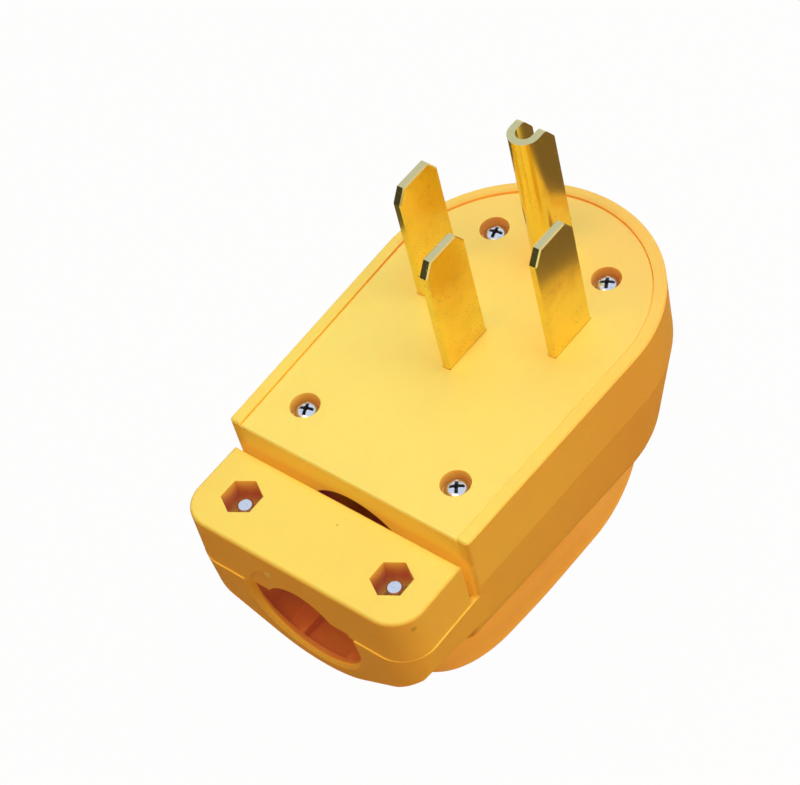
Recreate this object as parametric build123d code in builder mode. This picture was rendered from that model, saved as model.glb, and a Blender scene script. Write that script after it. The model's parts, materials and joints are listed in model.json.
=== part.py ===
"""RV power plug: four blades on a D-shaped face, a two-bolt cord clamp and a grip handle.

Millimetres. +Z points out of the face, along the blades. +Y points to the round end of the
face, and the cord leaves towards -Y. The origin lies on the face, midway between the two hot
blades.
"""

import os
from math import cos, radians, sin, tan

from build123d import *

os.makedirs("parts", exist_ok=True)

# Face outline: a flat front end, two nearly straight sides and a round end
round_radius = 33.3
round_centre_y = 2.7
side_lean = 1.5  # degrees that each side opens towards the round end
front_y = -54.1

# Rear housing
upper_draft = 1.2  # degrees, from the rim to the crease
lower_draft = 13.0  # degrees, below the crease
crease_depth = 15.0
back_depth = 44.0  # at the flat front end
back_slope = 4.0  # degrees that the back drops towards the round end
back_edge_radius = 15.0
wall = 2.6
rim_width = 2.8
ledge_width = 1.4
rim_edge = 0.35
rim_proud = 0.35  # how far the rim stands above the plate
front_corner_radius = 1.0

# Face plate
plate_thickness = 3.2
groove = 0.12  # gap between the plate and the rim
skirt_depth = 20.3  # down to the middle of the cable hole
plate_edge = 0.3
barrier_x = 9.0
barrier_thickness = 1.6
barrier_depth = 15.0
barrier_front_y = -24.0
barrier_back_y = 9.0

# Cable hole through the front wall
cable_hole_radius = 14.4

# Cord clamp: the saddle is part of the housing, and the clamp block is bolted on it
parting_depth = 18.8
clamp_top_depth = 5.6
clamp_side_step = 1.5  # how much narrower the clamp is than the face on each side
clamp_gap = 1.8
clamp_length = 19.6
clamp_corner_radius = 7.4
clamp_edge_radius = 0.9
clamp_skin = 2.6
clamp_rib = 2.0
arch_radius = 10.0
arch_drop = 5.6  # from the parting plane down to the centre of the arch
recess_setback = 0.45  # the upper part of the round mouth, sunk in the clamp's front
recess_lip = 0.7  # width of the slope round the recess
saddle_proud = 0.3
saddle_corner_radius = 8.3
saddle_side_depth = 26.6
saddle_bottom_depth = 40.6
saddle_flank_angle = 32.0
saddle_chine_radius = 1.5
saddle_keel_slope = 9.0  # degrees that the keel drops towards the housing
saddle_front_draft = 4.3  # degrees that the front leans back below the parting plane
saddle_skin = 2.2
saddle_front_wall = 2.1
saddle_pocket_half_width = 15.0
saddle_mouth_radius = 14.5
saddle_mouth_drop = 4.6  # centre of the round part of the mouth below the parting plane
mouth_edge = 0.6
cradle_rib = 4.8
cradle_rib_x = 8.3
cradle_depth = 36.2

# Grip handle: a bar along a rounded path behind the housing
handle_width = 22.0
handle_thickness = 12.0
handle_edge_radius = 5.8
handle_back_y = 20.6
handle_middle_y = -17.0
handle_front_y = -54.0
handle_back_depth = 76.6
handle_middle_depth = 75.6
handle_front_depth = 71.1
handle_back_radius = 18.0
handle_middle_radius = 120.0
handle_front_radius = 28.0

# Blades
blade_spacing = 35.1
blade_width = 12.7
blade_thickness = 2.07
blade_height = 31.45
blade_edge = 0.3
tip_corner_radius = 1.4
neutral_y = -13.5
tip_cut_width = 2.25
tip_cut_height = 3.35
blade_clearance = 0.05

# Ground pin: a folded U, open towards the round end
pin_width = 7.4
pin_wall = 1.74
pin_front_y = 13.1
pin_depth = 8.4
pin_height = 36.93

# Terminal lugs and their screws
lug_width = 10.0
lug_length = 13.2
lug_height = 14.0
ground_lug_length = 11.0
tail_depth = 6.0
wire_hole_radius = 3.6
wire_hole_drop = 9.8
terminal_screw_radius = 3.0
terminal_screw_length = 6.6
terminal_head_radius = 4.4
terminal_head_height = 3.2
terminal_head_gap = 0.2
hex_socket = 4.0
thread_clearance = 0.05

# Face screws
front_screw_side = 11.7  # from the side of the face
front_screw_y = -42.8
back_screw_x, back_screw_y = 15.0, 16.85
counterbore_radius = 3.35
head_radius = 2.7
head_height = 1.9
head_recess = 0.9
head_crown = 1.1  # height of the bevelled crown of a pan head
head_crown_width = 0.8
shank_radius = 1.5
face_screw_length = 16.0
boss_radius = 4.0
screw_clearance = 0.2
cross_length = 3.2
cross_width = 0.75
cross_depth = 1.3

# Clamp screws and nuts
bolt_side = 10.2  # from the side of the clamp
bolt_setback = 9.6  # from the back face of the clamp block
bolt_radius = 1.75
bolt_length = 19.05
bolt_end_depth = 8.5
bolt_clearance = 0.2
bolt_head_radius = 3.45
bolt_head_height = 2.1
bolt_pocket_radius = 3.9
nut_flats = 7.85
nut_thickness = 2.8
nut_clearance = 0.08
nut_floor = 2.4

# Places worked out from the sizes above
clamp_back_y = front_y - clamp_gap
clamp_front_y = clamp_back_y - clamp_length
saddle_front_y = clamp_front_y - saddle_proud
bolt_y = clamp_back_y - bolt_setback
crease_inset = (crease_depth + rim_proud) * tan(radians(upper_draft))
lug_top_depth = plate_thickness


def front_half_width(inset):
    """Half the width of the flat front end, for an outline inset from the rim."""
    lean = radians(side_lean)
    radius = round_radius - inset
    tangent_y = round_centre_y - radius * sin(lean)
    return radius * cos(lean) - (tangent_y - front_y) * tan(lean)


face_half_width = front_half_width(0)
clamp_half_width = face_half_width - clamp_side_step
bolt_x = clamp_half_width - bolt_side
front_screw_x = face_half_width - front_screw_side


def lower_inset(depth):
    """How far the side has drawn in from the rim at a depth below the crease."""
    return crease_inset + (depth - crease_depth) * tan(radians(lower_draft))


def face_outline(inset, front):
    """The D outline, inset from the rim, with its flat end at y = front."""
    lean = radians(side_lean)
    radius = round_radius - inset
    tangent_x = radius * cos(lean)
    tangent_y = round_centre_y - radius * sin(lean)
    corner_x = tangent_x - (tangent_y - front) * tan(lean)
    with BuildLine() as outline:
        Polyline((-tangent_x, tangent_y), (-corner_x, front), (corner_x, front), (tangent_x, tangent_y))
        ThreePointArc(
            (tangent_x, tangent_y), (0, round_centre_y + radius), (-tangent_x, tangent_y)
        )
    make_face(outline.line)


def back_plane(thickness):
    """The sloping plane of the back, moved towards the face by a wall thickness."""
    slope = radians(back_slope)
    drop = back_depth - thickness / cos(slope)
    return Plane(origin=(0, front_y, -drop), x_dir=(1, 0, 0), z_dir=(0, sin(slope), cos(slope)))


def write(builder, name):
    """Labels a finished piece and writes it as a STEP file."""
    builder.part.label = name
    export_step(builder.part, f"parts/{name}.step")


def face_screw_places():
    """Name and centre of each face screw."""
    return {
        "front_left": (-front_screw_x, front_screw_y),
        "front_right": (front_screw_x, front_screw_y),
        "back_left": (-back_screw_x, back_screw_y),
        "back_right": (back_screw_x, back_screw_y),
    }


# Wiring chamber: the hollow inside the housing, with the screw bosses left standing
chamber_inset = rim_width + ledge_width
chamber_floor = back_depth + 8
with BuildPart() as chamber:
    with BuildSketch(Plane.XY.offset(-plate_thickness)):
        face_outline(chamber_inset, front_y + wall)
    with BuildSketch(Plane.XY.offset(-crease_depth)):
        face_outline(chamber_inset, front_y + wall)
    with BuildSketch(Plane.XY.offset(-chamber_floor)):
        face_outline(lower_inset(chamber_floor) + wall, front_y + wall)
    loft(ruled=True)
    split(bisect_by=back_plane(wall), keep=Keep.TOP)
    floor_edges = chamber.faces().sort_by(Axis.Z)[0].edges()
    fillet(floor_edges.sort_by(Axis.Y)[1:], radius=back_edge_radius - wall)
    with BuildSketch(Plane.XY.offset(-plate_thickness)):
        with Locations(*face_screw_places().values()):
            Circle(boss_radius)
    extrude(amount=-chamber_floor, mode=Mode.SUBTRACT)

# Saddle: the lower half of the cord clamp, drawn as a section across the cord
flank = radians(saddle_flank_angle)
saddle_top_x = front_half_width(lower_inset(parting_depth))
saddle_side_x = front_half_width(lower_inset(saddle_side_depth))
saddle_rise = saddle_side_x * tan(flank) - (saddle_bottom_depth - saddle_side_depth)
saddle_radius = saddle_rise * cos(flank) / (1 - cos(flank))


def saddle_section(skin, drop):
    """Half-hull under the cord: leaning sides, straight flanks and a round keel."""
    radius = saddle_radius - skin
    centre_z = saddle_radius - saddle_bottom_depth - drop
    keel_x = radius * sin(flank)
    keel_z = centre_z - radius * cos(flank)
    side_x = saddle_side_x - skin
    side_z = keel_z + (side_x - keel_x) * tan(flank)
    top_x = saddle_top_x - skin
    with BuildLine() as section:
        Polyline(
            (-keel_x, keel_z),
            (-side_x, side_z),
            (-top_x, -parting_depth),
            (top_x, -parting_depth),
            (side_x, side_z),
            (keel_x, keel_z),
        )
        ThreePointArc((keel_x, keel_z), (0, centre_z - radius), (-keel_x, keel_z))
    make_face(section.line)
    chine_corners = vertices().filter_by(lambda corner: abs(corner.Y - side_z) < 0.01)
    fillet(chine_corners, radius=saddle_chine_radius)


def saddle_front_plane():
    """The leaning plane of the saddle's front, facing into the saddle."""
    lean = radians(saddle_front_draft)
    return Plane(
        origin=(0, saddle_front_y, -parting_depth), x_dir=(1, 0, 0), z_dir=(0, cos(lean), sin(lean))
    )


def keel_drop(y):
    """How much deeper the keel lies at y than at the front of the saddle."""
    return (y - saddle_front_y) * tan(radians(saddle_keel_slope))


with BuildPart() as saddle:
    for section_y in (front_y + wall, saddle_front_y):
        with BuildSketch(Plane.XZ.offset(-section_y)):
            saddle_section(0, keel_drop(section_y))
    loft(ruled=True)
    with BuildSketch(Plane.XY.offset(-parting_depth)):
        with Locations((0, saddle_front_y)):
            Rectangle(2 * saddle_top_x, 4 * clamp_length, align=(Align.CENTER, Align.MIN))
        fillet(vertices().group_by(Axis.Y)[0], radius=saddle_corner_radius)
    extrude(amount=-2 * saddle_bottom_depth, taper=saddle_front_draft, mode=Mode.INTERSECT)
    # mouth, with a bevelled lip
    with BuildSketch(Plane.XZ.offset(-saddle_front_y)):
        with Locations((0, -parting_depth)):
            SlotCenterPoint((0, 0), (0, -saddle_mouth_drop), 2 * saddle_mouth_radius)
    front_set_back = (saddle_bottom_depth - parting_depth) * tan(radians(saddle_front_draft))
    extrude(amount=-saddle_front_wall - front_set_back, mode=Mode.SUBTRACT)
    mouth_bottom = -parting_depth - saddle_mouth_drop - saddle_mouth_radius
    mouth_edges = saddle.edges().filter_by(
        lambda edge: edge.center().Y < saddle_front_y + saddle_front_wall
        and abs(edge.center().X) < saddle_mouth_radius + mouth_edge
        and edge.center().Z > mouth_bottom
    )
    chamfer(mouth_edges, length=mouth_edge)

# Hollow of the saddle, with two long ribs left standing as a cradle for the cord
with BuildPart() as saddle_pocket:
    for section_y in (front_y, saddle_front_y):
        with BuildSketch(Plane.XZ.offset(-section_y)):
            saddle_section(saddle_skin, keel_drop(section_y))
            with Locations((0, -parting_depth)):
                Rectangle(
                    2 * saddle_pocket_half_width, 4 * saddle_bottom_depth, mode=Mode.INTERSECT
                )
    loft(ruled=True)
    split(bisect_by=saddle_front_plane().offset(saddle_front_wall), keep=Keep.TOP)
    with BuildSketch(Plane.XY.offset(-cradle_depth)):
        with Locations((-cradle_rib_x, saddle_front_y), (cradle_rib_x, saddle_front_y)):
            Rectangle(cradle_rib, 4 * clamp_length)
    extrude(amount=-saddle_bottom_depth, mode=Mode.SUBTRACT)

# Rear housing: tapered shell, saddle and grip handle in one moulding
handle_path_points = [
    (handle_back_y, -back_depth),
    (handle_back_y, -handle_back_depth),
    (handle_middle_y, -handle_middle_depth),
    (handle_front_y, -handle_front_depth),
    (handle_front_y, -back_depth + wall),
]
with BuildPart() as rear_housing:
    with BuildSketch(Plane.XY.offset(rim_proud)):
        face_outline(0, front_y)
    with BuildSketch(Plane.XY.offset(-crease_depth)):
        face_outline(crease_inset, front_y)
    with BuildSketch(Plane.XY.offset(-chamber_floor)):
        face_outline(lower_inset(chamber_floor), front_y)
    loft(ruled=True)
    split(bisect_by=back_plane(0), keep=Keep.TOP)
    back_edges = rear_housing.faces().sort_by(Axis.Z)[0].edges()
    fillet(back_edges.sort_by(Axis.Y)[1:], radius=back_edge_radius)
    corner_edges = rear_housing.edges().filter_by(
        lambda edge: abs(edge.center().Y - front_y) < 0.01 and abs(edge.tangent_at(0).Z) > 0.5
    )
    fillet(corner_edges, radius=front_corner_radius)
    chamfer(rear_housing.edges().group_by(Axis.Z)[-1], length=rim_edge)
    add(saddle.part)
    with BuildLine(Plane.YZ) as handle_path:
        FilletPolyline(
            *handle_path_points,
            radius=[handle_back_radius, handle_middle_radius, handle_front_radius],
        )
    with BuildSketch(
        Plane(origin=handle_path.line @ 0, x_dir=(1, 0, 0), z_dir=handle_path.line % 0)
    ):
        RectangleRounded(handle_width, handle_thickness, handle_edge_radius)
    sweep(path=handle_path.line)
    add(chamber.part, mode=Mode.SUBTRACT)
    add(saddle_pocket.part, mode=Mode.SUBTRACT)
    # seat for the face plate and its skirt, open at the front end
    with BuildSketch(Plane.XY.offset(rim_proud)):
        face_outline(rim_width, front_y - wall)
    extrude(amount=-plate_thickness - rim_proud, mode=Mode.SUBTRACT)
    with BuildSketch(Plane.XY.offset(rim_proud)):
        with Locations((0, front_y)):
            Rectangle(2 * front_half_width(rim_width), 2 * wall)
    extrude(amount=-skirt_depth - rim_proud, mode=Mode.SUBTRACT)
    # lower half of the cable hole
    with BuildSketch(Plane.XZ.offset(-front_y - 2 * wall)):
        with Locations((0, -skirt_depth)):
            Circle(cable_hole_radius)
    extrude(amount=3 * wall, mode=Mode.SUBTRACT)
    # clamp screws come up from below
    with BuildSketch(Plane.XY.offset(-parting_depth)):
        with Locations((-bolt_x, bolt_y), (bolt_x, bolt_y)):
            Circle(bolt_radius + bolt_clearance)
    extrude(amount=-saddle_bottom_depth, mode=Mode.SUBTRACT)
    with BuildSketch(Plane.XY.offset(-bolt_end_depth - bolt_length)):
        with Locations((-bolt_x, bolt_y), (bolt_x, bolt_y)):
            Circle(bolt_pocket_radius)
    extrude(amount=-saddle_bottom_depth, mode=Mode.SUBTRACT)
    # pilot holes in the screw bosses
    with BuildSketch(Plane.XY.offset(-plate_thickness)):
        with Locations(*face_screw_places().values()):
            Circle(shank_radius + thread_clearance)
    extrude(amount=-face_screw_length, mode=Mode.SUBTRACT)
write(rear_housing, "rear_housing")


def blade_slot(x, y):
    """Slot in the plate for a flat blade."""
    with Locations((x, y)):
        Rectangle(blade_thickness + 2 * blade_clearance, blade_width + 2 * blade_clearance)


def pin_outline(clearance):
    """Section of the folded ground pin: a U with a round bend at the front."""
    outer = pin_width / 2
    inner = outer - pin_wall
    bend_y = pin_front_y + outer
    end_y = pin_front_y + pin_depth
    with BuildLine() as section:
        Line((outer, bend_y), (outer, end_y))
        Line((outer, end_y), (inner, end_y))
        Line((inner, end_y), (inner, bend_y))
        ThreePointArc((inner, bend_y), (0, bend_y - inner), (-inner, bend_y))
        Line((-inner, bend_y), (-inner, end_y))
        Line((-inner, end_y), (-outer, end_y))
        Line((-outer, end_y), (-outer, bend_y))
        ThreePointArc((-outer, bend_y), (0, pin_front_y), (outer, bend_y))
    make_face(section.line)
    if clearance:
        offset(amount=clearance, kind=Kind.INTERSECTION)


# Face plate, with the skirt that closes the front of the chamber
with BuildPart() as face_plate:
    with BuildSketch(Plane.XY):
        face_outline(rim_width + groove, front_y)
    extrude(amount=-plate_thickness)
    with BuildSketch(Plane.XY):
        with Locations((0, front_y)):
            Rectangle(
                2 * front_half_width(rim_width + groove),
                wall - groove,
                align=(Align.CENTER, Align.MIN),
            )
    extrude(amount=-skirt_depth)
    chamfer(face_plate.edges().group_by(Axis.Z)[-1], length=plate_edge)
    with BuildSketch(Plane.XY.offset(-plate_thickness)):
        for rib_x in (-barrier_x, barrier_x):
            with Locations((rib_x, barrier_front_y)):
                Rectangle(
                    barrier_thickness,
                    barrier_back_y - barrier_front_y,
                    align=(Align.CENTER, Align.MIN),
                )
    extrude(amount=-barrier_depth)
    with BuildSketch(Plane.XZ.offset(-front_y - 2 * wall)):
        with Locations((0, -skirt_depth)):
            Circle(cable_hole_radius)
    extrude(amount=3 * wall, mode=Mode.SUBTRACT)
    with BuildSketch(Plane.XY):
        blade_slot(-blade_spacing / 2, 0)
        blade_slot(blade_spacing / 2, 0)
        blade_slot(0, neutral_y)
        with Locations(*face_screw_places().values()):
            Circle(shank_radius + screw_clearance)
    extrude(amount=-plate_thickness, mode=Mode.SUBTRACT)
    with BuildSketch(Plane.XY):
        pin_outline(blade_clearance)
    extrude(amount=-plate_thickness, mode=Mode.SUBTRACT)
    with BuildSketch(Plane.XY):
        with Locations(*face_screw_places().values()):
            Circle(counterbore_radius)
    extrude(amount=-head_recess - head_height, mode=Mode.SUBTRACT)
write(face_plate, "face_plate")

# Cord clamp: a hollow block, ribbed below, with a hexagonal nut pocket over each bolt
pocket_half_x = bolt_x - nut_flats / 2 - clamp_rib
with BuildPart() as cord_clamp:
    with BuildSketch(Plane.XY.offset(-parting_depth)):
        with Locations((0, clamp_front_y)):
            Rectangle(2 * clamp_half_width, clamp_length, align=(Align.CENTER, Align.MIN))
        fillet(vertices().group_by(Axis.Y)[0], radius=clamp_corner_radius)
    extrude(amount=parting_depth - clamp_top_depth)
    fillet(cord_clamp.edges().group_by(Axis.Z)[-1], radius=clamp_edge_radius)
    for setback, lip in ((0, 0), (recess_setback, recess_lip)):
        with BuildSketch(Plane.XZ.offset(-clamp_front_y - setback)):
            with Locations((0, -parting_depth - saddle_mouth_drop)):
                Circle(saddle_mouth_radius - lip)
    loft(mode=Mode.SUBTRACT)
    # two hollows under the block leave a front web, a middle rib and a back web
    hollow_length = (clamp_length - recess_setback - 3 * clamp_rib) / 2
    with BuildSketch(Plane.XY.offset(-parting_depth)):
        with Locations((0, clamp_back_y - clamp_rib), (0, clamp_back_y - 2 * clamp_rib - hollow_length)):
            Rectangle(2 * pocket_half_x, hollow_length, align=(Align.CENTER, Align.MAX))
    extrude(amount=parting_depth - clamp_top_depth - clamp_skin, mode=Mode.SUBTRACT)
    with BuildSketch(Plane.XZ.offset(-clamp_back_y)):
        with Locations((0, -parting_depth - arch_drop)):
            Circle(arch_radius)
    extrude(amount=clamp_length, mode=Mode.SUBTRACT)
    with BuildSketch(Plane.XY.offset(-parting_depth)):
        with Locations((-bolt_x, bolt_y), (bolt_x, bolt_y)):
            Circle(bolt_radius + bolt_clearance)
    extrude(amount=parting_depth, mode=Mode.SUBTRACT)
    with BuildSketch(Plane.XY.offset(-parting_depth + nut_floor)):
        with Locations((-bolt_x, bolt_y), (bolt_x, bolt_y)):
            RegularPolygon(nut_flats / 2 + nut_clearance, 6, major_radius=False, rotation=30)
    extrude(amount=parting_depth, mode=Mode.SUBTRACT)
write(cord_clamp, "cord_clamp")


def make_blade(x, y, name):
    """Flat blade: its tip corners are cut, and its tail ends inside the lug."""
    half = blade_width / 2
    with BuildPart() as blade:
        with BuildSketch(Plane.YZ.offset(x)):
            with BuildLine():
                Polyline(
                    (y - half, -lug_top_depth - tail_depth),
                    (y + half, -lug_top_depth - tail_depth),
                    (y + half, blade_height - tip_cut_height),
                    (y + half - tip_cut_width, blade_height),
                    (y - half + tip_cut_width, blade_height),
                    (y - half, blade_height - tip_cut_height),
                    close=True,
                )
            make_face()
            tip_corners = vertices().filter_by(lambda corner: corner.Z > 0)
            fillet(tip_corners, radius=tip_corner_radius)
        extrude(amount=blade_thickness / 2, both=True)
        outline_edges = blade.edges().filter_by(
            lambda edge: abs(abs(edge.center().X - x) - blade_thickness / 2) < 0.01
        )
        chamfer(outline_edges, length=blade_edge)
    write(blade, name)


make_blade(-blade_spacing / 2, 0, "hot_blade_left")
make_blade(blade_spacing / 2, 0, "hot_blade_right")
make_blade(0, neutral_y, "neutral_blade")

# Ground pin: the arms are cut back at the top of their open side
with BuildPart() as ground_pin:
    with BuildSketch(Plane.XY.offset(-lug_top_depth - tail_depth)):
        pin_outline(0)
    extrude(amount=lug_top_depth + tail_depth + pin_height)
    with BuildSketch(Plane.YZ):
        with BuildLine():
            Polyline(
                (pin_front_y + pin_depth - tip_cut_width, pin_height),
                (pin_front_y + pin_depth, pin_height),
                (pin_front_y + pin_depth, pin_height - tip_cut_height),
                close=True,
            )
        make_face()
    extrude(amount=pin_width, both=True, mode=Mode.SUBTRACT)
    arm_corners = ground_pin.edges().filter_by(Axis.X).filter_by(lambda edge: edge.center().Z > 0)
    fillet(arm_corners, radius=tip_corner_radius)
write(ground_pin, "ground_pin")


def make_lug(x, y, length, tail_x, tail_y, name):
    """Brass block on a tail: a wire hole along Y and a tapped hole from behind."""
    with BuildPart() as lug:
        with BuildSketch(Plane.XY.offset(-lug_top_depth)):
            with Locations((x, y)):
                Rectangle(lug_width, length)
        extrude(amount=-lug_height)
        chamfer(lug.edges().filter_by(Axis.Z), length=blade_edge * 2)
        with BuildSketch(Plane.XY.offset(-lug_top_depth)):
            with Locations((x, y)):
                Rectangle(tail_x + 2 * blade_clearance, tail_y + 2 * blade_clearance)
        extrude(amount=-tail_depth, mode=Mode.SUBTRACT)
        with BuildSketch(Plane.XZ.offset(-y - length)):
            with Locations((x, -lug_top_depth - wire_hole_drop)):
                Circle(wire_hole_radius)
        extrude(amount=2 * length, both=True, mode=Mode.SUBTRACT)
        with BuildSketch(Plane.XY.offset(-lug_top_depth - lug_height)):
            with Locations((x, y)):
                Circle(terminal_screw_radius + thread_clearance)
        extrude(amount=lug_height - wire_hole_drop, mode=Mode.SUBTRACT)
    write(lug, name)


def make_terminal_screw(x, y, name):
    """Pressure screw with a hexagon socket, coming up from behind the lug."""
    head_top = -lug_top_depth - lug_height - terminal_head_gap
    with BuildPart() as screw:
        with BuildSketch(Plane.XY.offset(head_top)):
            with Locations((x, y)):
                Circle(terminal_head_radius)
        extrude(amount=-terminal_head_height)
        chamfer(screw.edges().group_by(Axis.Z)[0], length=blade_edge * 2)
        with BuildSketch(Plane.XY.offset(head_top)):
            with Locations((x, y)):
                Circle(terminal_screw_radius)
        extrude(amount=terminal_screw_length)
        chamfer(screw.edges().group_by(Axis.Z)[-1], length=blade_edge * 2)
        with BuildSketch(Plane.XY.offset(head_top - terminal_head_height)):
            with Locations((x, y)):
                RegularPolygon(hex_socket / 2, 6, major_radius=False)
        extrude(amount=terminal_head_height - blade_edge * 4, mode=Mode.SUBTRACT)
    write(screw, name)


pin_mid_y = pin_front_y + pin_depth / 2
terminals = {
    "hot_left": (-blade_spacing / 2, 0, lug_length, blade_thickness, blade_width),
    "hot_right": (blade_spacing / 2, 0, lug_length, blade_thickness, blade_width),
    "neutral": (0, neutral_y, lug_length, blade_thickness, blade_width),
    "ground": (0, pin_mid_y, ground_lug_length, pin_width, pin_depth),
}
for terminal, (x, y, length, tail_x, tail_y) in terminals.items():
    make_lug(x, y, length, tail_x, tail_y, f"lug_{terminal}")
    make_terminal_screw(x, y, f"terminal_screw_{terminal}")


def cut_cross(x, y, top):
    """Cross recess cut down from the top of the head."""
    with BuildSketch(Plane.XY.offset(top)) as cross:
        with Locations((x, y)):
            Rectangle(cross_length, cross_width)
            Rectangle(cross_width, cross_length)
    extrude(cross.sketch, amount=-cross_depth, taper=8, mode=Mode.SUBTRACT)


def make_face_screw(x, y, name):
    """Pan head with a cross recess, in the counterbore of the face plate."""
    seat = -head_recess - head_height
    with BuildPart() as screw:
        with BuildSketch(Plane.XY.offset(seat)):
            with Locations((x, y)):
                Circle(head_radius)
        extrude(amount=head_height)
        chamfer(screw.edges().group_by(Axis.Z)[-1], length=head_crown, length2=head_crown_width)
        with BuildSketch(Plane.XY.offset(seat)):
            with Locations((x, y)):
                Circle(shank_radius)
        extrude(amount=-face_screw_length + head_height)
        cut_cross(x, y, seat + head_height)
    write(screw, name)


for place, (x, y) in face_screw_places().items():
    make_face_screw(x, y, f"face_screw_{place}")


def make_clamp_screw(x, name):
    """Machine screw through the saddle and the clamp, with its head below."""
    seat = -bolt_end_depth - bolt_length
    with BuildPart() as screw:
        with BuildSketch(Plane.XY.offset(seat)):
            with Locations((x, bolt_y)):
                Circle(bolt_radius)
        extrude(amount=bolt_length)
        chamfer(screw.edges().group_by(Axis.Z)[-1], length=blade_edge)
        with BuildSketch(Plane.XY.offset(seat)):
            with Locations((x, bolt_y)):
                Circle(bolt_head_radius)
        extrude(amount=-bolt_head_height)
        chamfer(screw.edges().group_by(Axis.Z)[0], length=head_crown, length2=head_crown_width)
        with BuildSketch(Plane.XY.offset(seat - bolt_head_height)):
            with Locations((x, bolt_y)):
                Rectangle(cross_length, cross_width)
                Rectangle(cross_width, cross_length)
        extrude(amount=cross_depth, mode=Mode.SUBTRACT)
    write(screw, name)


def make_nut(x, name):
    """Hexagon nut on the floor of its pocket."""
    with BuildPart() as nut:
        with BuildSketch(Plane.XY.offset(-parting_depth + nut_floor)):
            with Locations((x, bolt_y)):
                RegularPolygon(nut_flats / 2, 6, major_radius=False, rotation=30)
                Circle(bolt_radius + thread_clearance, mode=Mode.SUBTRACT)
        extrude(amount=nut_thickness)
    write(nut, name)


for side, x in (("left", -bolt_x), ("right", bolt_x)):
    make_clamp_screw(x, f"clamp_screw_{side}")
    make_nut(x, f"clamp_nut_{side}")
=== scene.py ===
# %% [markdown]
# # A yellow power plug with brass blades
# The solids of this plug already exist: a packed CAD model gives every moulded, stamped and
# turned piece its true shape. This lesson gives those pieces their finish, draws the cross
# recess of the screws, and lights the plug as for a catalogue photograph.

# %% Load the plug
import json

import bmesh
import bpy
import numpy as np
from mathutils import Matrix, Vector


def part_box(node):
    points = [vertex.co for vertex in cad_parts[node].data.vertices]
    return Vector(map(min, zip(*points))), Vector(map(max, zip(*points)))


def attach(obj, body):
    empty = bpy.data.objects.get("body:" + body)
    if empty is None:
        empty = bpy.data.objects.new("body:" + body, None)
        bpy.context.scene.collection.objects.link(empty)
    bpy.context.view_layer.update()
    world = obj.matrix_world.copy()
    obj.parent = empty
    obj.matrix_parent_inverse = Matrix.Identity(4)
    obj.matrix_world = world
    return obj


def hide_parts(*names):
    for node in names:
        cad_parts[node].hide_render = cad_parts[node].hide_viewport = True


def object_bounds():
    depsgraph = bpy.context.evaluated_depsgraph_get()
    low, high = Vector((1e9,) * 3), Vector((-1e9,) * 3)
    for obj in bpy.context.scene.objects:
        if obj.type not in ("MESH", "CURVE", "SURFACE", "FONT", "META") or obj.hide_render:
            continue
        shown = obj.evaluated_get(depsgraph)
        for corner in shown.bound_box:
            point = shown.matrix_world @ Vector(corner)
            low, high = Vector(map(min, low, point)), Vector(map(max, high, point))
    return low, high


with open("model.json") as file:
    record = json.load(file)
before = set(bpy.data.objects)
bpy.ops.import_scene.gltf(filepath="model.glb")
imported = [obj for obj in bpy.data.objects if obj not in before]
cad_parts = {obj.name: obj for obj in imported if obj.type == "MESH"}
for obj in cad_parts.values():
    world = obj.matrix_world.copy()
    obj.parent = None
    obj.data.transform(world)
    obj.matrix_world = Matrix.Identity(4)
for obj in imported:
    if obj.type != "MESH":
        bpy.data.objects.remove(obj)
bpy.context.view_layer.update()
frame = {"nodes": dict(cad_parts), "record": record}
nodes = frame["nodes"]

# %% [markdown]
# ## The camera
# The photograph looks down on the face from the front right. A camera is a place, a direction
# and a roll. It could be moved by eye until the picture fits, but numbers that were worked
# out from the edges of the plug fit much closer. The lens is long, because the blades lean
# together only a little. The small shifts move the picture without turning the camera.

# %% Camera
camera_place = Vector((0.27210, -0.25559, 0.41356))
camera_aim = Vector((-0.014710, -0.019060, -0.012349))
camera_roll = np.radians(-15.982)
camera_data = bpy.data.cameras.new("catalogue_camera")
camera_data.lens = 118.29
camera_data.shift_x = -0.00624
camera_data.shift_y = -0.02066
camera_data.clip_start = 0.01
camera_data.clip_end = 20.0
camera = bpy.data.objects.new("catalogue_camera", camera_data)
look = (camera_aim - camera_place).to_track_quat("-Z", "Y").to_matrix().to_4x4()
roll = Matrix.Rotation(camera_roll, 4, "Z")
camera.matrix_world = Matrix.Translation(camera_place) @ look @ roll
bpy.context.scene.collection.objects.link(camera)
bpy.context.scene.camera = camera
bpy.context.scene.view_settings.view_transform = "Standard"
print("camera distance", round((camera_aim - camera_place).length, 4), "m")

# %% [markdown]
# ## Shader maths as plain sums
# A finish is a graph of nodes. Written node by node it hides the idea, so one small class
# stands for a value in the graph, and Python's own signs add the Math nodes. Every other node
# comes from one method that takes its type, its settings and what feeds its sockets.


# %% Amount
class Amount:
    """One value in a finish. Sums, products and comparisons of amounts add Math nodes."""

    def __init__(self, finish, socket):
        self.finish = finish
        self.socket = socket

    def maths(self, operation, first, second):
        """One Math node that works out the operation on the first and the second value."""
        settings = {"operation": operation}
        return self.finish.node("ShaderNodeMath", settings, {0: first, 1: second})

    def __add__(self, other):
        return self.maths("ADD", self, other)

    def __radd__(self, other):
        return self.maths("ADD", other, self)

    def __sub__(self, other):
        return self.maths("SUBTRACT", self, other)

    def __rsub__(self, other):
        return self.maths("SUBTRACT", other, self)

    def __mul__(self, other):
        return self.maths("MULTIPLY", self, other)

    def __rmul__(self, other):
        return self.maths("MULTIPLY", other, self)

    def __gt__(self, other):
        return self.maths("GREATER_THAN", self, other)

    def __lt__(self, other):
        return self.maths("LESS_THAN", self, other)


print("Amount ready, for the signs + - * > <")


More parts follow.
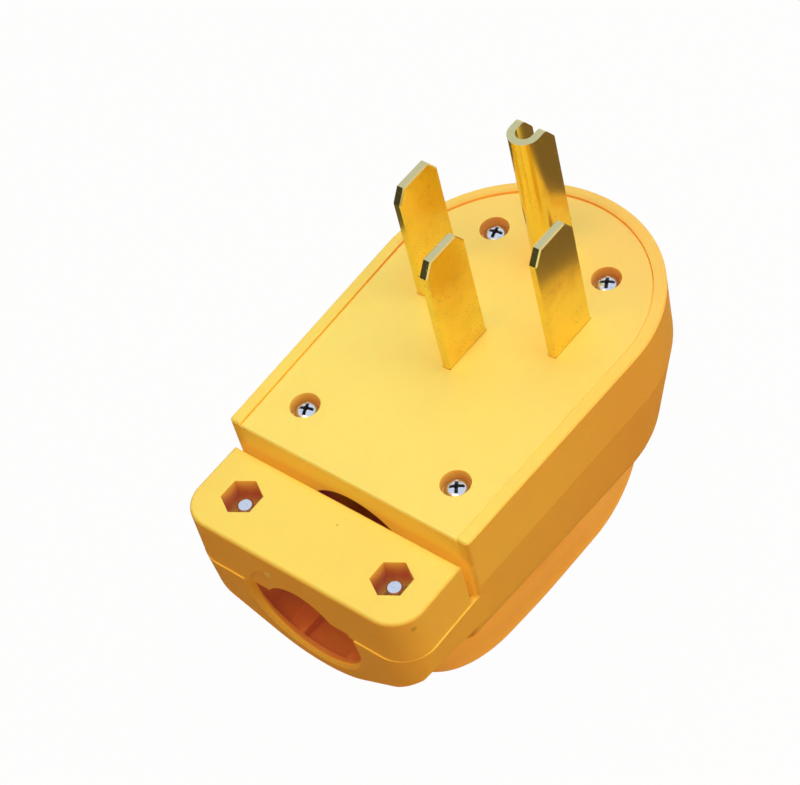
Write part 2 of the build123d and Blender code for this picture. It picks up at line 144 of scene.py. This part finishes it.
# %% Finish
class Finish:
    """The node tree of a material or of the world, while it is being built."""

    def __init__(self, owner):
        owner.use_nodes = True
        self.owner = owner
        self.tree = owner.node_tree
        self.tree.nodes.clear()
        self.places = self.node("ShaderNodeTexCoord", {}, {}, "Object")

    def node(self, kind, settings, feeds, result=0):
        """Adds a node: settings first, then a number, a colour or an amount for each socket."""
        made = self.tree.nodes.new(kind)
        for key, value in settings.items():
            setattr(made, key, value)
        for key, value in feeds.items():
            if isinstance(value, Amount):
                self.tree.links.new(value.socket, made.inputs[key])
            else:
                made.inputs[key].default_value = value
        return Amount(self, made.outputs[result]) if made.outputs else made

    def vector_maths(self, operation, first, second):
        """The number that a Vector Math operation gives for two vectors."""
        feeds = {0: first, 1: second}
        return self.node("ShaderNodeVectorMath", {"operation": operation}, feeds, "Value")

    def noise(self, size, detail=2.0, stretch=(1.0, 1.0, 1.0)):
        """Cloudy noise whose blotches are about `size` metres across, squeezed by `stretch`."""
        places = self.node("ShaderNodeMapping", {}, {"Vector": self.places, "Scale": stretch})
        feeds = {"Vector": places, "Scale": 1.0 / size, "Detail": detail}
        return self.node("ShaderNodeTexNoise", {}, feeds, "Fac")

    def ramp(self, amount, low, high):
        """0 below `low`, 1 above `high`, and a smooth rise between them."""
        feeds = {"Value": amount, "From Min": low, "From Max": high}
        return self.node("ShaderNodeMapRange", {"interpolation_type": "SMOOTHSTEP"}, feeds)

    def blend(self, amount, first, second):
        """Colour that goes from `first` to `second` as the amount goes from 0 to 1.

        A Mix node keeps several sockets of one name: its colours are sockets 6 and 7, and its
        mixed colour is result 2.
        """
        feeds = {0: amount, 6: first, 7: second}
        return self.node("ShaderNodeMix", {"data_type": "RGBA"}, feeds, 2)

    def bump(self, height, depth):
        """Normals of a surface whose height varies by `depth` metres."""
        feeds = {"Height": height, "Distance": depth, "Strength": 1.0}
        return self.node("ShaderNodeBump", {}, feeds)

    def spot(self, place, size):
        """1 near a place, 0 farther off than `size` metres, with a ragged border between."""
        reach = self.vector_maths("DISTANCE", self.places, place)
        ragged = reach + (self.noise(size * 0.9) - 0.5) * size
        return 1.0 - self.ramp(ragged, size * 0.45, size * 0.9)

    def openness(self, reach):
        """Share of the directions that are free of any surface within `reach` metres."""
        return self.node("ShaderNodeAmbientOcclusion", {"samples": 8}, {"Distance": reach}, "AO")

    def surface(self, feeds):
        """The shader itself, wired to the output."""
        shader = self.node("ShaderNodeBsdfPrincipled", {}, feeds)
        self.node("ShaderNodeOutputMaterial", {}, {"Surface": shader})
        return self.owner


print("Finish ready, with", [name for name in vars(Finish) if not name.startswith("__")])

# %% [markdown]
# ## Zones of the plug
# One plastic covers three pieces, but it doesn't look the same all over them: the handle is
# painted paler as painted light, and the cord's channel lies in deep painted shade. Vertex paint
# could mark such zones, but the solids are loose triangles that change with every pack. So the
# finish finds its zones from where a point is: to the side of the middle, towards the back, and
# how high.

# %% Borders of the zones, in metres
handle_top = (-0.050, -0.043)
saddle_end = (-0.0738, -0.0731)
channel_width = (0.0151, 0.0162)
channel_top = -0.0064
front_wall_back = -0.0538
front_wall_low = -0.0192
clamp_back = -0.0595
chamber_width = 0.0285
chamber_front = -0.0535
counterbore_depth = (-0.0034, -0.0008)
seam_top = -0.014
round_centre = 0.0027
plate_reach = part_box("face_plate")[1][1] - round_centre
print("the round end of the plate has a radius of", round(plate_reach, 4), "m")


# %% Zones
def plug_zones(finish, side, back, height):
    """Shares of four zones at a point: each is 1 in its zone and 0 outside it.

    handle_light: below the handle's top, where the handle gets painted light. front_wall: in front
    of the wall's line and above its lower edge. channel: near the middle, below the clamp's top,
    above the handle, not that wall.
    chamber: inside the shell, and down the counterbores, where it rises with the depth.
    """
    handle_light = 1.0 - finish.ramp(height, *handle_top)
    width = finish.node("ShaderNodeMath", {"operation": "ABSOLUTE"}, {0: side})
    above_handle = height > handle_top[1]
    front_wall = (height > front_wall_low) * (back < front_wall_back)
    channel = (1.0 - finish.ramp(width, *channel_width)) * (height < channel_top)
    channel = channel * (1.0 - front_wall) * above_handle
    chamber = (width < chamber_width) * (back > chamber_front) * above_handle
    chamber = chamber * (1.0 - finish.ramp(height, *counterbore_depth))
    return handle_light, front_wall, channel, chamber


print("four zones, the lowest one under", handle_top[1], "m")

# %% [markdown]
# ## Light in the hollows
# In a hollow, light goes from wall to wall and takes the plastic's colour again each time, so
# hollows turn deep orange. A little light also travels through the plastic, so thin gaps stay
# bright. Subsurface light alone shows this only with very many samples. Here an ambient
# occlusion node measures how closed in each point is, within 30 mm for the hollows and within
# 4 mm for the gaps. It deepens the colour as painted shade and adds a faint glow as painted light.

# %% Reaches and glows
hollow_reach = 0.03
gap_reach = 0.004
black = (0.0, 0.0, 0.0, 1.0)
# Colours of painted light for hollows, bounced light and gaps.
hollow_glow = (0.025, 0.003, 0.008, 1.0)
bounce_glow = (0.225, 0.112, 0.009, 1.0)
gap_glow = (0.19, 0.105, 0.014, 1.0)
print("hollows within", hollow_reach, "m, gaps within", gap_reach, "m")


# %% Hollows
def hollows(finish, back, height, zones):
    """How far a point is in a hollow, how far in bounced light, and how far in a thin gap.

    hollow: the closed share of the space round the point, counted sooner in the channel, less on
    the handle and the front wall, and not on the saddle's end; it sets the painted shade. bounce:
    the half-closed share, outside the chamber. gap: the closed share close by, weaker in the
    chamber and in the seams below the clamp's top. Bounce and gap set the glow of painted light.
    """
    handle_light, front_wall, channel, chamber = zones
    open_share = finish.openness(hollow_reach)
    closed = (1.0 - finish.ramp(open_share, 0.12, 0.54)) * (1.0 - handle_light * 0.75)
    closed = closed * (1.0 - front_wall * (back > clamp_back) * 0.6)
    deep_closed = 1.0 - finish.ramp(open_share, 0.5, 0.92)
    hollow = closed * (1.0 - channel) + deep_closed * channel * 0.87
    hollow = hollow * finish.ramp(back, *saddle_end)
    bounce = (1.0 - finish.ramp(open_share, 0.5, 0.88)) * (1.0 - hollow) * (1.0 - chamber)
    gap = 1.0 - finish.ramp(finish.openness(gap_reach), 0.1, 0.5)
    gap = gap * (1.0 - chamber * 0.75) * (1.0 - (height < seam_top) * 0.35)
    return hollow, bounce, gap


def glow(finish, hollow, bounce, gap):
    """Painted light: black in the open, dim red in a hollow, orange in bounced light, yellow in a
    thin gap.
    """
    light = finish.blend(hollow, black, hollow_glow)
    light = finish.blend(bounce, light, bounce_glow)
    return finish.blend(gap, light, gap_glow)


print("glow of a gap:", gap_glow[:3])

# %% [markdown]
# ## Marks of the mould
# A moulded piece shows where it was made. The nylon came in through a gate, which leaves a pale
# scar on the clamp's front. Air that was trapped in the mould leaves a burnt dot. The rim's
# inner edge is a fine step, shown as a ring of painted shade on its far and left side, broken by
# two bits of flash. Each mark is a ragged spot or a ring at its own place, and rare specks come
# from the middles of a cell pattern, where a slow noise picks a few of them.

# %% Places of the marks, in metres
gate_place, gate_size = (-0.0070, -0.07505, -0.01238), 0.0014
top_burn_place, top_burn_size = (0.0020, -0.06087, -0.0056), 0.0004
side_burn_place, side_burn_size = (0.0295, -0.0712, -0.0089), 0.0009
flash_places, flash_size = ((-0.0204, 0.0247, 0.0), (0.0207, 0.0252, 0.0)), 0.0009
scar_yellow = (0.80, 0.95, 0.34, 1.0)
burnt = (0.16, 0.09, 0.02, 1.0)
# Painted shade of the rim's step.
step_shade_orange = (0.78, 0.38, 0.04, 1.0)
speck_brown = (0.12, 0.05, 0.012, 1.0)
print("one gate scar, two burns and", len(flash_places), "bits of flash")


# %% Marks
def rim_step_shade(finish, side, back, height):
    """Painted shade of the rim's step: a ring from the plate's edge to 1 mm farther out, on the
    far and left side.
    """
    from_centre = finish.node("ShaderNodeCombineXYZ", {}, {0: side, 1: back - round_centre})
    reach = finish.node("ShaderNodeVectorMath", {"operation": "LENGTH"}, {0: from_centre}, "Value")
    ring = finish.ramp(reach, plate_reach - 0.0001, plate_reach + 0.0002)
    ring = ring * (1.0 - finish.ramp(reach, plate_reach + 0.0008, plate_reach + 0.0012))
    ring = ring * finish.ramp(back * 0.46 - side * 0.49, 0.002, 0.014) * (back > round_centre)
    flash = finish.spot(flash_places[0], flash_size) + finish.spot(flash_places[1], flash_size)
    return ring * (1.0 - flash) * (height > -0.001)


def marked(finish, tint, side, back, height):
    """The colour with the gate scar, the burns, the painted shade of the rim's step and the specks
    laid over it.
    """
    tint = finish.blend(finish.spot(gate_place, gate_size) * 0.8, tint, scar_yellow)
    top_burn = finish.spot(top_burn_place, top_burn_size)
    side_burn = finish.spot(side_burn_place, side_burn_size)
    tint = finish.blend((top_burn + side_burn) * 0.35, tint, burnt)
    # Painted shade along the rim's step.
    tint = finish.blend(rim_step_shade(finish, side, back, height) * 0.4, tint, step_shade_orange)
    cell_feeds = {"Vector": finish.places, "Scale": 85.0}
    cells = finish.node("ShaderNodeTexVoronoi", {}, cell_feeds, "Distance")
    specks = (cells < 0.013) * (finish.noise(0.019, 0.0) > 0.57)
    return finish.blend(specks * 0.7, tint, speck_brown)


print("gate scar", gate_size * 1000.0, "mm wide")

# %% [markdown]
# ## Moulded nylon
# The body is glass-filled nylon. It has an even, strong colour with slow clouds in it where
# the melt flowed, and a mould texture far finer than a millimetre. One flat colour would look
# like paint, so the clouds and the flow move it a few hundredths towards deep orange. Towards
# the far end it moves further, as painted shade. The grain is bump only, because it is too fine
# to be a shape.

# %% Colours of the nylon
# Deep orange is the clouds' tone and also the colour of painted shade in hollows and towards the
# far end.
deep_orange = (0.64, 0.09, 0.05, 1.0)
# Paler yellow for the handle: painted light.
handle_light_yellow = (0.90, 0.66, 0.22, 1.0)
housing_yellow = (0.80, 0.65, 0.11, 1.0)
# The plate's paler yellow is painted light: a lit copy of the housing's yellow for the upward
# face.
plate_lit_yellow = (0.80, 0.68, 0.14, 1.0)
print("the plate is the paler one:", plate_lit_yellow[1] > housing_yellow[1])


# %% Moulded nylon
def moulded_nylon(name, colour, grain, gloss):
    """Nylon: its colour, deeper in clouds and along the flow, with painted shade to the back and
    in hollows, painted light on the handle, and a glow of painted light in hollows and gaps.

    The roughness is `gloss` plus what the fine grain and the slow waves add or take away, and
    both of them make the bump.
    """
    finish = Finish(bpy.data.materials.new(name))
    side, back, height = (
        finish.node("ShaderNodeSeparateXYZ", {}, {0: finish.places}, axis) for axis in "XYZ"
    )
    clouds = finish.ramp(finish.noise(0.03, 3.0), 0.35, 0.7)
    flow = finish.noise(0.006, 2.0, (1.0, 0.35, 1.0))
    # Painted shade: the colour deepens towards the far end.
    along = finish.vector_maths("DOT_PRODUCT", finish.places, (0.3, 1.0, 0.0))
    far_end_shade = finish.ramp(along, -0.04, 0.06)
    tint = finish.blend(clouds * 0.045 + flow * 0.03 + far_end_shade * 0.27, colour, deep_orange)
    zones = plug_zones(finish, side, back, height)
    handle_light, channel = zones[0], zones[2]
    hollow, bounce, gap = hollows(finish, back, height, zones)
    outer_gap = gap * (1.0 - channel)
    # Painted light: the handle is made paler.
    tint = finish.blend(handle_light * 0.8, tint, handle_light_yellow)
    # Painted shade: hollows deepen the colour towards deep orange.
    tint = finish.blend(hollow * (0.92 - outer_gap * 0.9), tint, deep_orange)
    texture = finish.noise(grain, 2.0)
    waves = finish.noise(0.011, 1.0)
    feeds = {
        "Base Color": marked(finish, tint, side, back, height),
        "Roughness": gloss + (texture - 0.5) * 0.16 + (waves - 0.5) * 0.08,
        "IOR": 1.5,
        "Specular IOR Level": 0.3,
        "Subsurface Weight": 0.3,
        "Subsurface Radius": (1.0, 0.3, 0.06),
        "Subsurface Scale": 0.002,
        # Painted light: hollows, bounced light and gaps glow.
        "Emission Color": glow(finish, hollow, bounce, outer_gap),
        "Emission Strength": 1.0,
        "Normal": finish.bump(texture * 0.6 + waves * 3.0, 0.000012),
    }
    return finish.surface(feeds)


housing_nylon = moulded_nylon("housing_nylon", housing_yellow, 0.00035, 0.46)
plate_nylon = moulded_nylon("plate_nylon", plate_lit_yellow, 0.00028, 0.44)
print("nylon:", housing_nylon.name, plate_nylon.name)

# %% [markdown]
# ## Stamped brass
# The blades are stamped from rolled strip. Rolling leaves faint lines along the strip, air
# leaves a brown haze and pinprick spots, and hands leave duller smears. Brass takes its
# colour mostly from what it mirrors, so the roughness does most of the work here. The die
# cuts the ends. Faces that look up get a darker, greyer brass by the height of their normal:
# this is painted shade.

# %% Colours of the brass
# Darker, greyer brass for faces that look up: painted shade.
up_facing_shade_brass = (0.64, 0.52, 0.24, 1.0)
blade_colours = (0.90, 0.73, 0.20, 1.0), (0.68, 0.48, 0.13, 1.0)
lug_colours = (0.78, 0.56, 0.22, 1.0), (0.42, 0.25, 0.09, 1.0)
print("brass, clean and hazed:", blade_colours[0][:3], blade_colours[1][:3])


# %% Stamped brass
def stamped_brass(name, colours, line_stretch, gloss):
    """Brass: from its clean to its hazed colour by the sum of haze, pinpricks and smears.

    Pinpricks show only inside patches. Rolled lines run along `line_stretch`, in the roughness
    and in the bump. Faces whose normal points up take a darker, greyer brass as painted shade.
    """
    finish = Finish(bpy.data.materials.new(name))
    lines = finish.noise(0.0006, 3.0, line_stretch)
    haze = finish.ramp(finish.noise(0.005, 3.0), 0.45, 0.75)
    pricks = finish.ramp(finish.noise(0.0004, 1.0), 0.62, 0.74)
    patches = finish.ramp(finish.noise(0.0035, 2.0), 0.42, 0.62)
    tarnished = pricks * patches
    smear = finish.noise(0.009, 2.0, (1.0, 1.0, 0.5))
    skin = finish.blend(haze * 0.25 + tarnished * 0.75 + (smear - 0.4) * 0.3, *colours)
    facing = finish.node("ShaderNodeNewGeometry", {}, {}, "Normal")
    # Painted shade on faces that look up.
    upward = finish.ramp(finish.node("ShaderNodeSeparateXYZ", {}, {0: facing}, "Z"), 0.3, 0.6)
    feeds = {
        "Base Color": finish.blend(upward, skin, up_facing_shade_brass),
        "Metallic": 1.0 - tarnished * 0.5,
        "Roughness": gloss + (lines - 0.5) * 0.08 + haze * 0.05 + (smear - 0.5) * 0.06,
        "Normal": finish.bump(lines + smear * 0.6, 0.000003),
    }
    return finish.surface(feeds)


blade_brass = stamped_brass("blade_brass", blade_colours, (1.0, 1.0, 0.05), 0.2)
lug_brass = stamped_brass("lug_brass", lug_colours, (0.08, 1.0, 1.0), 0.36)
print("brass:", blade_brass.name, lug_brass.name)

# %% [markdown]
# ## Zinc plate
# The screws and nuts are steel with a thin bright zinc coat. It is pale and a little blue,
# with fine drawing lines and dull grey freckles where the coat has started to chalk. A screw's
# recess is darkened, as painted shade. The screws below carry a number for each vertex that says
# how deep in the recess it is, and the finish reads it. A piece without it gets no such shade.

# %% Colours of the zinc
bright_zinc = (0.66, 0.64, 0.65, 1.0)
chalky_zinc = (0.45, 0.44, 0.45, 1.0)
# Near-black painted shade for the recess of a screw.
recess_grime = (0.075, 0.075, 0.075, 1.0)
recess_attribute = "recess_depth"
print("grime is read from the attribute", recess_attribute)


# %% Zinc plate
def zinc_plate(name):
    """Zinc: from bright to chalky by the freckles, then to painted shade by the depth in the
    recess.
    """
    finish = Finish(bpy.data.materials.new(name))
    freckles = finish.ramp(finish.noise(0.0005, 3.0), 0.55, 0.72)
    scratches = finish.noise(0.0003, 2.0, (0.2, 1.0, 1.0))
    grime = finish.node("ShaderNodeAttribute", {"attribute_name": recess_attribute}, {}, "Fac")
    coat = finish.blend(freckles, bright_zinc, chalky_zinc)
    feeds = {
        "Base Color": finish.blend(grime * 0.97, coat, recess_grime),
        "Metallic": 1.0,
        "Roughness": 0.2 + freckles * 0.2 + (scratches - 0.5) * 0.12 + grime * 0.3,
        "Normal": finish.bump(scratches, 0.000004),
    }
    return finish.surface(feeds)


zinc = zinc_plate("zinc")
print("plating:", zinc.name)

# %% [markdown]
# ## Dressing the solids
# The record names a kind of material for each piece. A table from that name to a finish
# dresses all of them in one loop, so a piece that is added later is dressed as well.

# %% Dress the solids
finish_of_slot = {
    "yellow_plastic": housing_nylon,
    "plate_plastic": plate_nylon,
    "blade_brass": blade_brass,
    "lug_brass": lug_brass,
    "zinc_steel": zinc,
}
for part in frame["record"]["subparts"]:
    piece = nodes[part["node"]]
    piece.data.materials.clear()
    piece.data.materials.append(finish_of_slot[part["material_slot"]])

# %% [markdown]
# ## Surfaces from two numbers
# A shape whose points depend on two numbers is a grid. numpy works out the whole grid at once,
# and neighbouring points become the corners of one face. Rows that shrink to a point are
# merged, so poles close.


# %% Grid to mesh
def surface_piece(name, grid, material):
    """Mesh of a grid[i, j] of points: i along the profile, j round it, closed after the last j."""
    rows, columns = grid.shape[:2]
    index = np.arange(rows * columns).reshape(rows, columns)
    index = np.concatenate([index, index[:, :1]], axis=1)
    corners = [index[:-1, :-1], index[:-1, 1:], index[1:, 1:], index[1:, :-1]]
    faces = np.stack(corners, axis=-1).reshape(-1, 4)
    mesh = bpy.data.meshes.new(name)
    mesh.from_pydata(grid.reshape(-1, 3).tolist(), [], faces.tolist())
    shell = bmesh.new()
    shell.from_mesh(mesh)
    bmesh.ops.remove_doubles(shell, verts=shell.verts, dist=1e-7)
    bmesh.ops.recalc_face_normals(shell, faces=shell.faces)
    shell.to_mesh(mesh)
    shell.free()
    mesh.polygons.foreach_set("use_smooth", np.ones(len(mesh.polygons), bool))
    mesh.set_sharp_from_angle(angle=np.radians(38))
    mesh.materials.append(material)
    piece = bpy.data.objects.new(name, mesh)
    bpy.context.scene.collection.objects.link(piece)
    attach(piece, "root")
    return piece


print("a grid of 3 by 4 points gives", (3 - 1) * 4, "faces")

# %% [markdown]
# ## Screw heads with a cross recess
# The driver recess of these pan heads is the darkest, sharpest mark on the face, and the plain
# cross of the solid is too boxy for it. The real recess is a cone with four wings that get
# shallower outwards. So the head is drawn again as one profile turned round the screw, with
# the recess taken off its height.

# %% Sizes of a screw, in millimetres
cone_radius, cone_slope, cone_depth, cone_cut = 0.98, 2.6, 1.35, 0.62
wing_reach, wing_slope, wing_depth = 1.72, 1.5, 1.3
wing_half_width, wing_wall_slope = 0.37, 5.0
dome_drop, dome_power = 0.95, 3.2
head_height, shank_radius = 1.9, 1.5
thread_pitch, thread_depth, point_length = 1.2, 0.2, 1.6
round_steps, dome_steps, shank_steps = 144, 56, 60
print("recess", 2 * wing_reach, "mm across,", cone_depth, "mm deep at most")


# %% Recess
def cross_recess(x, y):
    """Depth of the recess at (x, y): the deeper of a central cone and two crossed wings.

    The cone gets deeper towards the middle. A wing gets shallower towards its end, and its two
    walls are steep.
    """
    reach = np.hypot(x, y)
    cone = np.clip((cone_radius - reach) * cone_slope, 0.0, cone_depth)

    def wing(along, across):
        floor = np.clip(wing_reach - np.abs(along), 0.0, 1.0) * wing_slope
        return np.minimum(floor, (wing_half_width - np.abs(across)) * wing_wall_slope)

    wings = np.clip(np.maximum(wing(x, y), wing(y, x)), 0.0, wing_depth)
    return np.maximum(cone * (reach < cone_cut), wings)


def dome_fall(reach):
    """How far the head has fallen at `reach`, 0 in the middle and 1 at its edge: a power of it."""
    return dome_drop * reach**dome_power


print("the middle of a recess is", round(float(cross_recess(0.0, 0.0)), 2), "mm deep")


# %% Screw
def screw_grid(low, high, turn):
    """Points of a screw between two corners: dome, side, underside and shank, row by row.

    The dome falls by a power of the reach, less the recess. The shank's radius falls and rises
    once for each pitch along a spiral, and it closes to a point at its lower end.
    """
    centre = (low + high) / 2
    head_radius = (high[0] - low[0]) / 2
    angle = np.linspace(0.0, 2 * np.pi, round_steps, endpoint=False)[None, :]
    reach = np.linspace(0.0, 1.0, dome_steps)[:, None]
    radius = head_radius * reach + 0 * angle
    dome = high[2] - dome_fall(reach)
    dome = dome - cross_recess(radius * np.cos(angle), radius * np.sin(angle))
    seat = high[2] - head_height
    height = np.linspace(seat, low[2], shank_steps)[:, None]
    along_spiral = (height / thread_pitch - angle / (2 * np.pi)) % 1.0
    thread = thread_depth * np.abs(2 * along_spiral - 1)
    taper = np.clip((height - low[2]) / point_length, 0.0, 1.0) ** 0.6
    one_ring = np.ones((1, round_steps))
    all_radii = np.concatenate([radius, head_radius * one_ring, (shank_radius - thread) * taper])
    all_heights = np.concatenate([dome, seat * one_ring, height + 0 * angle])
    spin = angle + np.radians(turn)
    x = centre[0] + all_radii * np.cos(spin)
    y = centre[1] + all_radii * np.sin(spin)
    return np.stack([x, y, all_heights], axis=-1)


def mark_recess(piece, low, high):
    """Writes 1 where a vertex is deep in the recess and 0 on the dome, smooth between them."""
    places = np.empty(3 * len(piece.data.vertices))
    piece.data.vertices.foreach_get("co", places)
    top_centre = np.append((low + high)[:2] / 2, high[2])
    x, y, z = places.reshape(-1, 3).T * 1000.0 - top_centre[:, None]
    reach = np.hypot(x, y) / ((high[0] - low[0]) / 2)
    sunk = np.clip((-z - dome_fall(reach) - 0.12) / 0.35, 0.0, 1.0) * (reach < 0.66)
    # How deep a vertex lies in the recess sets its painted shade.
    grime = piece.data.attributes.new(recess_attribute, "FLOAT", "POINT")
    grime.data.foreach_set("value", sunk.astype(np.float32))


def pan_head_screw(name, turn):
    """A turned screw in the place of the solid `name`, its recess turned by `turn` degrees."""
    low, high = (np.array(corner) * 1000.0 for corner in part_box(name))
    grid = screw_grid(low, high, turn) / 1000.0
    piece = surface_piece(name + "_turned", grid, zinc)
    mark_recess(piece, low, high)
    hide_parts(name)
    return piece


# %% Four screws
screw_turns = {
    "face_screw_front_left": 20.0,
    "face_screw_front_right": 35.0,
    "face_screw_back_left": 12.0,
    "face_screw_back_right": 28.0,
}
for name, turn in screw_turns.items():
    screw = pan_head_screw(name, turn)
    print(screw.name, len(screw.data.vertices), "vertices")

# %% [markdown]
# ## A catalogue table
# In a catalogue the plug floats on white. A table that is bright enough for that would also
# throw too much light up at the plug. So one sheet does two jobs: the camera and the mirrored
# rays see nearly all of it as plain white, and the light that bounces from it is warm and dim.
# Seen from below it is clear, so that the back of the plug can be looked at.


# %% Rays that are seen
def seen_rays(finish):
    """1 for a ray from the camera, from a mirror or through something clear, and 0 for others."""
    kinds = ("Is Camera Ray", "Is Glossy Ray", "Is Transmission Ray")
    camera_ray, glossy_ray, clear_ray = (
        finish.node("ShaderNodeLightPath", {}, {}, kind) for kind in kinds
    )
    return (camera_ray + glossy_ray + clear_ray) > 0.5


print("helper ready:", seen_rays.__name__)

# %% Table
white = (1.0, 1.0, 1.0, 1.0)
paper_colour = (0.62, 0.31, 0.16, 1.0)
table_half = 3.0
floor_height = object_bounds()[0][2] - 0.0004
floor_corners = [
    (x * table_half, y * table_half, floor_height) for x, y in ((-1, -1), (1, -1), (1, 1), (-1, 1))
]
floor_mesh = bpy.data.meshes.new("table_top")
floor_mesh.from_pydata(floor_corners, [], [(0, 1, 2, 3)])
floor = bpy.data.objects.new("table_top", floor_mesh)
bpy.context.scene.collection.objects.link(floor)
table = Finish(bpy.data.materials.new("table_white"))
paper = table.node("ShaderNodeBsdfDiffuse", {}, {"Color": paper_colour})
shine = table.node("ShaderNodeEmission", {}, {"Color": white, "Strength": 1.0})
top = table.node("ShaderNodeMixShader", {}, {0: seen_rays(table) * 0.98, 1: paper, 2: shine})
clear = table.node("ShaderNodeBsdfTransparent", {}, {})
camera_ray = table.node("ShaderNodeLightPath", {}, {}, "Is Camera Ray")
underside = table.node("ShaderNodeNewGeometry", {}, {}, "Backfacing") * camera_ray
sheet = table.node("ShaderNodeMixShader", {}, {0: underside, 1: top, 2: clear})
table.node("ShaderNodeOutputMaterial", {}, {"Surface": sheet})
floor_mesh.materials.append(table.owner)
print("table at", round(floor_height, 4))

# %% [markdown]
# ## The air round it
# The world does the same two jobs as the table: white where it is seen, and a weak warm light
# from all sides, which fills the shadows with the colour that they have in the photograph.

# %% World
warm_air = (1.0, 0.47, 0.25, 1.0)
air_strength = 0.32
world = bpy.data.worlds.new("white_room")
bpy.context.scene.world = world
room = Finish(world)
air = room.node("ShaderNodeBackground", {}, {"Color": warm_air, "Strength": air_strength})
sky = room.node("ShaderNodeBackground", {}, {"Color": white, "Strength": 1.0})
mixed = room.node("ShaderNodeMixShader", {}, {0: seen_rays(room), 1: air, 2: sky})
room.node("ShaderNodeOutputWorld", {}, {"Surface": mixed})
print("world:", world.name)

# %% [markdown]
# ## Lamps
# Three wide soft lamps light the plug: a cool one over the face, a warm one from the front and
# a low warm one from the right. One lamp could do it, but then the front and the side would be
# equally dark, and in the photograph the side is the brighter one. The top lamp is hidden from
# mirrors, because brass would show it as a white patch.


# %% Lamps
def soft_lamp(name, place, aim, width, power, colour):
    """A square area lamp at `place`, facing `aim`."""
    data = bpy.data.lights.new(name, "AREA")
    data.size = width
    data.energy = power
    data.color = colour
    lamp = bpy.data.objects.new(name, data)
    turn = (Vector(aim) - Vector(place)).to_track_quat("-Z", "Y").to_matrix().to_4x4()
    lamp.matrix_world = Matrix.Translation(place) @ turn
    bpy.context.scene.collection.objects.link(lamp)
    return lamp


middle = (0, 0, -0.03)
cool, warm, amber = (0.75, 1.05, 1.20), (1.0, 0.55, 0.25), (1.0, 0.60, 0.16)
top_lamp = soft_lamp("top_lamp", (0.10, 0.22, 1.0), middle, 0.9, 9.6, cool)
top_lamp.visible_glossy = False
front_lamp = soft_lamp("front_lamp", (0.05, -0.55, 1.1), (0, -0.04, -0.03), 0.8, 6.0, warm)
side_lamp = soft_lamp("side_lamp", (1.05, 0.35, 0.14), middle, 0.7, 5.2, amber)
print("lamps:", top_lamp.name, front_lamp.name, side_lamp.name)

# %% [markdown]
# ## Cards for the brass
# Metal shows what is round it, and in an all-white room it would look like plastic. A
# photographer sets cards just outside the picture. These four are seen by reflections only:
# two dark ones lie on the table, one dark one stands at the front left, and a pale one hangs
# over the plug, where the cut ends of the blades mirror it.


# %% Cards
def mirror_card(name, corners, shade):
    """A flat card of one shade that only reflections see."""
    mesh = bpy.data.meshes.new(name)
    mesh.from_pydata(corners, [], [(0, 1, 2, 3)])
    finish = Finish(bpy.data.materials.new(name + "_paper"))
    shine = finish.node("ShaderNodeEmission", {}, {"Color": (*shade, 1.0), "Strength": 1.0})
    finish.node("ShaderNodeOutputMaterial", {}, {"Surface": shine})
    mesh.materials.append(finish.owner)
    card = bpy.data.objects.new(name, mesh)
    card.visible_camera = False
    card.visible_diffuse = False
    card.visible_shadow = False
    card.visible_transmission = False
    bpy.context.scene.collection.objects.link(card)
    return card


def level_corners(left, front, right, back, height):
    """The four corners of a level card, round from the front left."""
    around = (left, front), (right, front), (right, back), (left, back)
    return [(x, y, height) for x, y in around]


on_table = floor_height + 0.002
tall_corners = [(-0.9, -0.2, -0.1), (0.1, -0.9, -0.1), (0.1, -0.9, 0.4), (-0.9, -0.2, 0.4)]
cards = [
    mirror_card("low_card", level_corners(0.0, -0.3, 0.6, 0.6, on_table), (0.20, 0.13, 0.07)),
    mirror_card("front_card", level_corners(-0.6, -0.7, 0.0, 0.05, on_table), (0.11, 0.10, 0.06)),
    mirror_card("tall_card", tall_corners, (0.07, 0.075, 0.05)),
    mirror_card("sky_card", level_corners(-1.5, -0.4, 0.5, 1.4, 0.9), (0.82, 1.0, 1.25)),
]
print("cards:", [card.name for card in cards])

# %% [markdown]
# ## The end
